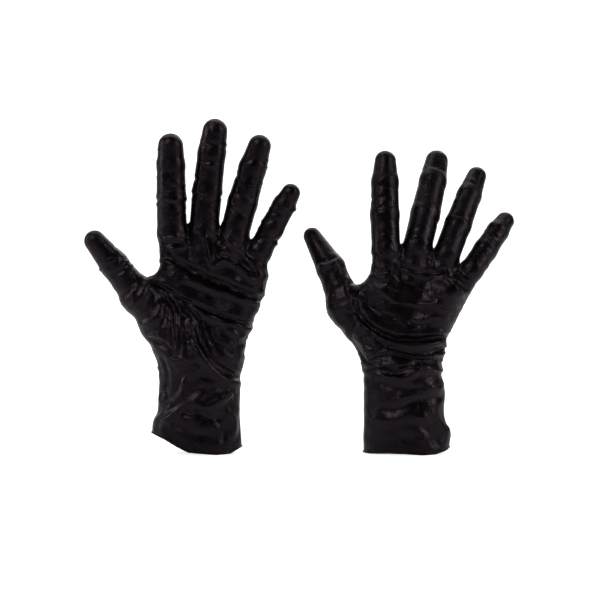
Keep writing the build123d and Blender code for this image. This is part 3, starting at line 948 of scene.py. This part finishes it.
def beadTree():
    tree = bpy.data.node_groups.new("rolled bead", "GeometryNodeTree")
    face = tree.interface
    face.new_socket("Geometry", in_out="INPUT", socket_type="NodeSocketGeometry")
    sockets = {"Radius": ("NodeSocketFloat", beadForm["radius"]),
               "Unevenness": ("NodeSocketFloat", beadForm["uneven"]),
               "Runs": ("NodeSocketInt", beadForm["runs"]),
               "Sides": ("NodeSocketInt", beadForm["sides"]),
               "Seed": ("NodeSocketInt", beadForm["seed"]), "Material": ("NodeSocketMaterial", None)}
    for label, (kind, value) in sockets.items():
        made = face.new_socket(label, in_out="INPUT", socket_type=kind)
        if value is not None:
            made.default_value = value
    face.new_socket("Geometry", in_out="OUTPUT", socket_type="NodeSocketGeometry")
    given = tree.nodes.new("NodeGroupInput")
    done = tree.nodes.new("NodeGroupOutput")
    link = tree.links.new
    path = tree.nodes.new("GeometryNodeMeshToCurve")
    link(given.outputs["Geometry"], path.inputs["Mesh"])
    even = tree.nodes.new("GeometryNodeResampleCurve")
    link(path.outputs["Curve"], even.inputs["Curve"])
    link(given.outputs["Runs"], even.inputs["Count"])
    spot = tree.nodes.new("GeometryNodeInputPosition")
    rough = addNode(tree, "ShaderNodeTexNoise", {"Scale": beadForm["grain"], "Detail": 2.0},
                    noise_dimensions="4D")
    link(spot.outputs["Position"], rough.inputs["Vector"])
    link(given.outputs["Seed"], rough.inputs["W"])
    centred = addNode(tree, "ShaderNodeMath", {1: 0.5}, operation="SUBTRACT")
    link(rough.outputs["Fac"], centred.inputs[0])
    scaled = addNode(tree, "ShaderNodeMath", operation="MULTIPLY")
    link(centred.outputs[0], scaled.inputs[0])
    link(given.outputs["Unevenness"], scaled.inputs[1])
    thick = addNode(tree, "ShaderNodeMath", operation="ADD")
    link(scaled.outputs[0], thick.inputs[0])
    link(given.outputs["Radius"], thick.inputs[1])
    ratio = addNode(tree, "ShaderNodeMath", operation="DIVIDE")
    link(thick.outputs[0], ratio.inputs[0])
    link(given.outputs["Radius"], ratio.inputs[1])
    widen = tree.nodes.new("GeometryNodeSetCurveRadius")
    link(even.outputs["Curve"], widen.inputs["Curve"])
    link(ratio.outputs[0], widen.inputs["Radius"])
    ring = addNode(tree, "GeometryNodeCurvePrimitiveCircle", mode="RADIUS")
    link(given.outputs["Sides"], ring.inputs["Resolution"])
    link(given.outputs["Radius"], ring.inputs["Radius"])
    tube = tree.nodes.new("GeometryNodeCurveToMesh")
    link(widen.outputs["Curve"], tube.inputs["Curve"])
    link(ring.outputs["Curve"], tube.inputs["Profile Curve"])
    radius = tree.nodes.new("GeometryNodeInputRadius")
    link(radius.outputs[0], tube.inputs["Scale"])
    whole = tree.nodes.new("GeometryNodeRealizeInstances")
    link(tube.outputs["Mesh"], whole.inputs["Geometry"])
    coat = tree.nodes.new("GeometryNodeSetMaterial")
    link(whole.outputs["Geometry"], coat.inputs["Geometry"])
    link(given.outputs["Material"], coat.inputs["Material"])
    link(coat.outputs["Geometry"], done.inputs["Geometry"])
    return tree


beadNodes = beadTree()


def rollBead(side, loop):
    mesh = bpy.data.meshes.new("rim path")
    count = len(loop)
    mesh.from_pydata([tuple(p * mm) for p in loop], [(i, (i + 1) % count) for i in range(count)], [])
    path = newObject("rim path", mesh)
    roll = path.modifiers.new("roll", "NODES")
    roll.node_group = beadNodes
    for item in beadNodes.interface.items_tree:
        if item.in_out == "INPUT" and item.name == "Material":
            roll[item.identifier] = beadMaterial
    bead = newObject(f"{side}_rolled_bead", appliedCopy(path))
    bead.data.name = bead.name
    bead.data.shade_smooth()
    bpy.data.objects.remove(path)
    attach(bead, f"{side}_cuff")
    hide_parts(f"{side}_cuff_bead")
    return bead


# ---- making both gloves
def makeGlove(side):
    hand = sampleHand(side)
    points, quads = openFilm(hand)
    report(f"{side}: film of {len(points)} points cut from the hand form")
    points = layFilm(side, hand, points, quads)
    report(f"{side}: spare film laid")
    points, normals, quads = finer(points, quads)
    points = liftRim(side, points)
    mesh = quadMesh("whole", points, quads)
    points, normals, quads = readMesh(mesh)
    bpy.data.meshes.remove(mesh)
    labels = cutUp(side, points, quads)
    for label in sorted(set(labels)):
        piece = filmPiece(f"{side}_{label}", points, normals, quads[labels == label], filmMaterial)
        bendPiece(side, label, piece)
    rollBead(side, rimLoop(points, quads))
    report(f"{side}: {len(set(labels))} film pieces and a bead, {len(quads)} quads")


for side in sides:
    makeGlove(side)


# ---- floor, light and camera
stageForm = {"half": 3.0, "frontAt": -0.75, "backAt": 1.6, "backHeight": 3.0, "bendRadius": 0.6,
             "bendRuns": 16,
             "floorColour": (0.86, 0.86, 0.86, 1), "glowSeen": 0.8, "glowCast": 0.20,
             "roomSeen": 1.0, "roomCast": 0.025}
lights = {  # place, aim, width and height in metres, power in watts
    "key": {"at": (-0.75, -1.1, 1.15), "aim": (-0.02, 0, 0.10), "size": (0.5, 0.7), "power": 8.5},
    "side": {"at": (1.05, -0.45, 0.62), "aim": (0.02, 0, 0.10), "size": (0.25, 0.8), "power": 4.5},
    "left": {"at": (-1.1, -0.1, 0.45), "aim": (-0.05, 0, 0.10), "size": (0.2, 0.7), "power": 3.2},
    "rear": {"at": (0.5, 1.0, 0.9), "aim": (0, 0, 0.12), "size": (0.8, 0.5), "power": 3.5},
    "floor": {"at": (0.0, 0.5, 1.7), "aim": (0, 0.3, 0.0), "size": (2.0, 0.8), "power": 10},
}
cameraForm = {"lens": 100, "sensor": 36, "distance": 1.233, "height": 0.1132, "across": 0.0011}


def seenAs(tree, socket, cast, seen):
    # what the camera sees of a bright surface isn't what the surface casts on the gloves
    ray = addNode(tree, "ShaderNodeLightPath")
    strength = addNode(tree, "ShaderNodeMapRange", {"To Min": cast, "To Max": seen})
    tree.links.new(ray.outputs["Is Camera Ray"], strength.inputs["Value"])
    tree.links.new(strength.outputs["Result"], socket)


def addStage():
    s = stageForm
    middle = wrists["left"][1] * mm
    profile = [(s["frontAt"], 0.0), (s["backAt"] - s["bendRadius"], 0.0)]
    for i in range(1, s["bendRuns"] + 1):
        turn = math.pi / 2 * i / s["bendRuns"]
        profile.append((s["backAt"] - s["bendRadius"] + s["bendRadius"] * math.sin(turn),
                        s["bendRadius"] * (1 - math.cos(turn))))
    profile.append((s["backAt"], s["backHeight"]))
    points = [(x, middle + y, z) for y, z in profile for x in (-s["half"], s["half"])]
    faces = [(2 * i, 2 * i + 1, 2 * i + 3, 2 * i + 2) for i in range(len(profile) - 1)]
    mesh = bpy.data.meshes.new("studio floor")
    mesh.from_pydata(points, [], faces)
    mesh.shade_smooth()
    paper = bpy.data.materials.new("white studio paper")
    paper.use_nodes = True
    shader = paper.node_tree.nodes["Principled BSDF"]
    shader.inputs["Base Color"].default_value = s["floorColour"]
    shader.inputs["Roughness"].default_value = 0.9
    shader.inputs["Emission Color"].default_value = (1, 1, 1, 1)
    seenAs(paper.node_tree, shader.inputs["Emission Strength"], s["glowCast"], s["glowSeen"])
    shader.inputs["Specular IOR Level"].default_value = 0.1
    mesh.materials.append(paper)
    newObject("studio_floor", mesh)


def addLights():
    for name, form in lights.items():
        lamp = bpy.data.lights.new(name, "AREA")
        lamp.shape = "RECTANGLE"
        lamp.size, lamp.size_y = form["size"]
        lamp.energy = form["power"]
        thing = newObject(f"{name}_light", lamp)
        thing.location = form["at"]
        aim = Vector(form["aim"]) - Vector(form["at"])
        thing.rotation_euler = aim.to_track_quat("-Z", "Y").to_euler()
    world = bpy.data.worlds.new("studio")
    world.use_nodes = True
    background = world.node_tree.nodes["Background"]
    background.inputs["Color"].default_value = (1, 1, 1, 1)
    strength = background.inputs["Strength"]
    seenAs(world.node_tree, strength, stageForm["roomCast"], stageForm["roomSeen"])
    bpy.context.scene.world = world


def addCamera():
    camera = bpy.data.cameras.new("camera")
    camera.lens, camera.sensor_width = cameraForm["lens"], cameraForm["sensor"]
    thing = newObject("camera", camera)
    middle = wrists["left"][1] * mm
    thing.location = (cameraForm["across"], middle - cameraForm["distance"], cameraForm["height"])
    thing.rotation_euler = (math.pi / 2, 0, 0)
    bpy.context.scene.camera = thing


addStage()
addLights()
addCamera()
bpy.context.scene.view_settings.view_transform = "Standard"
report("floor, lights and camera placed")
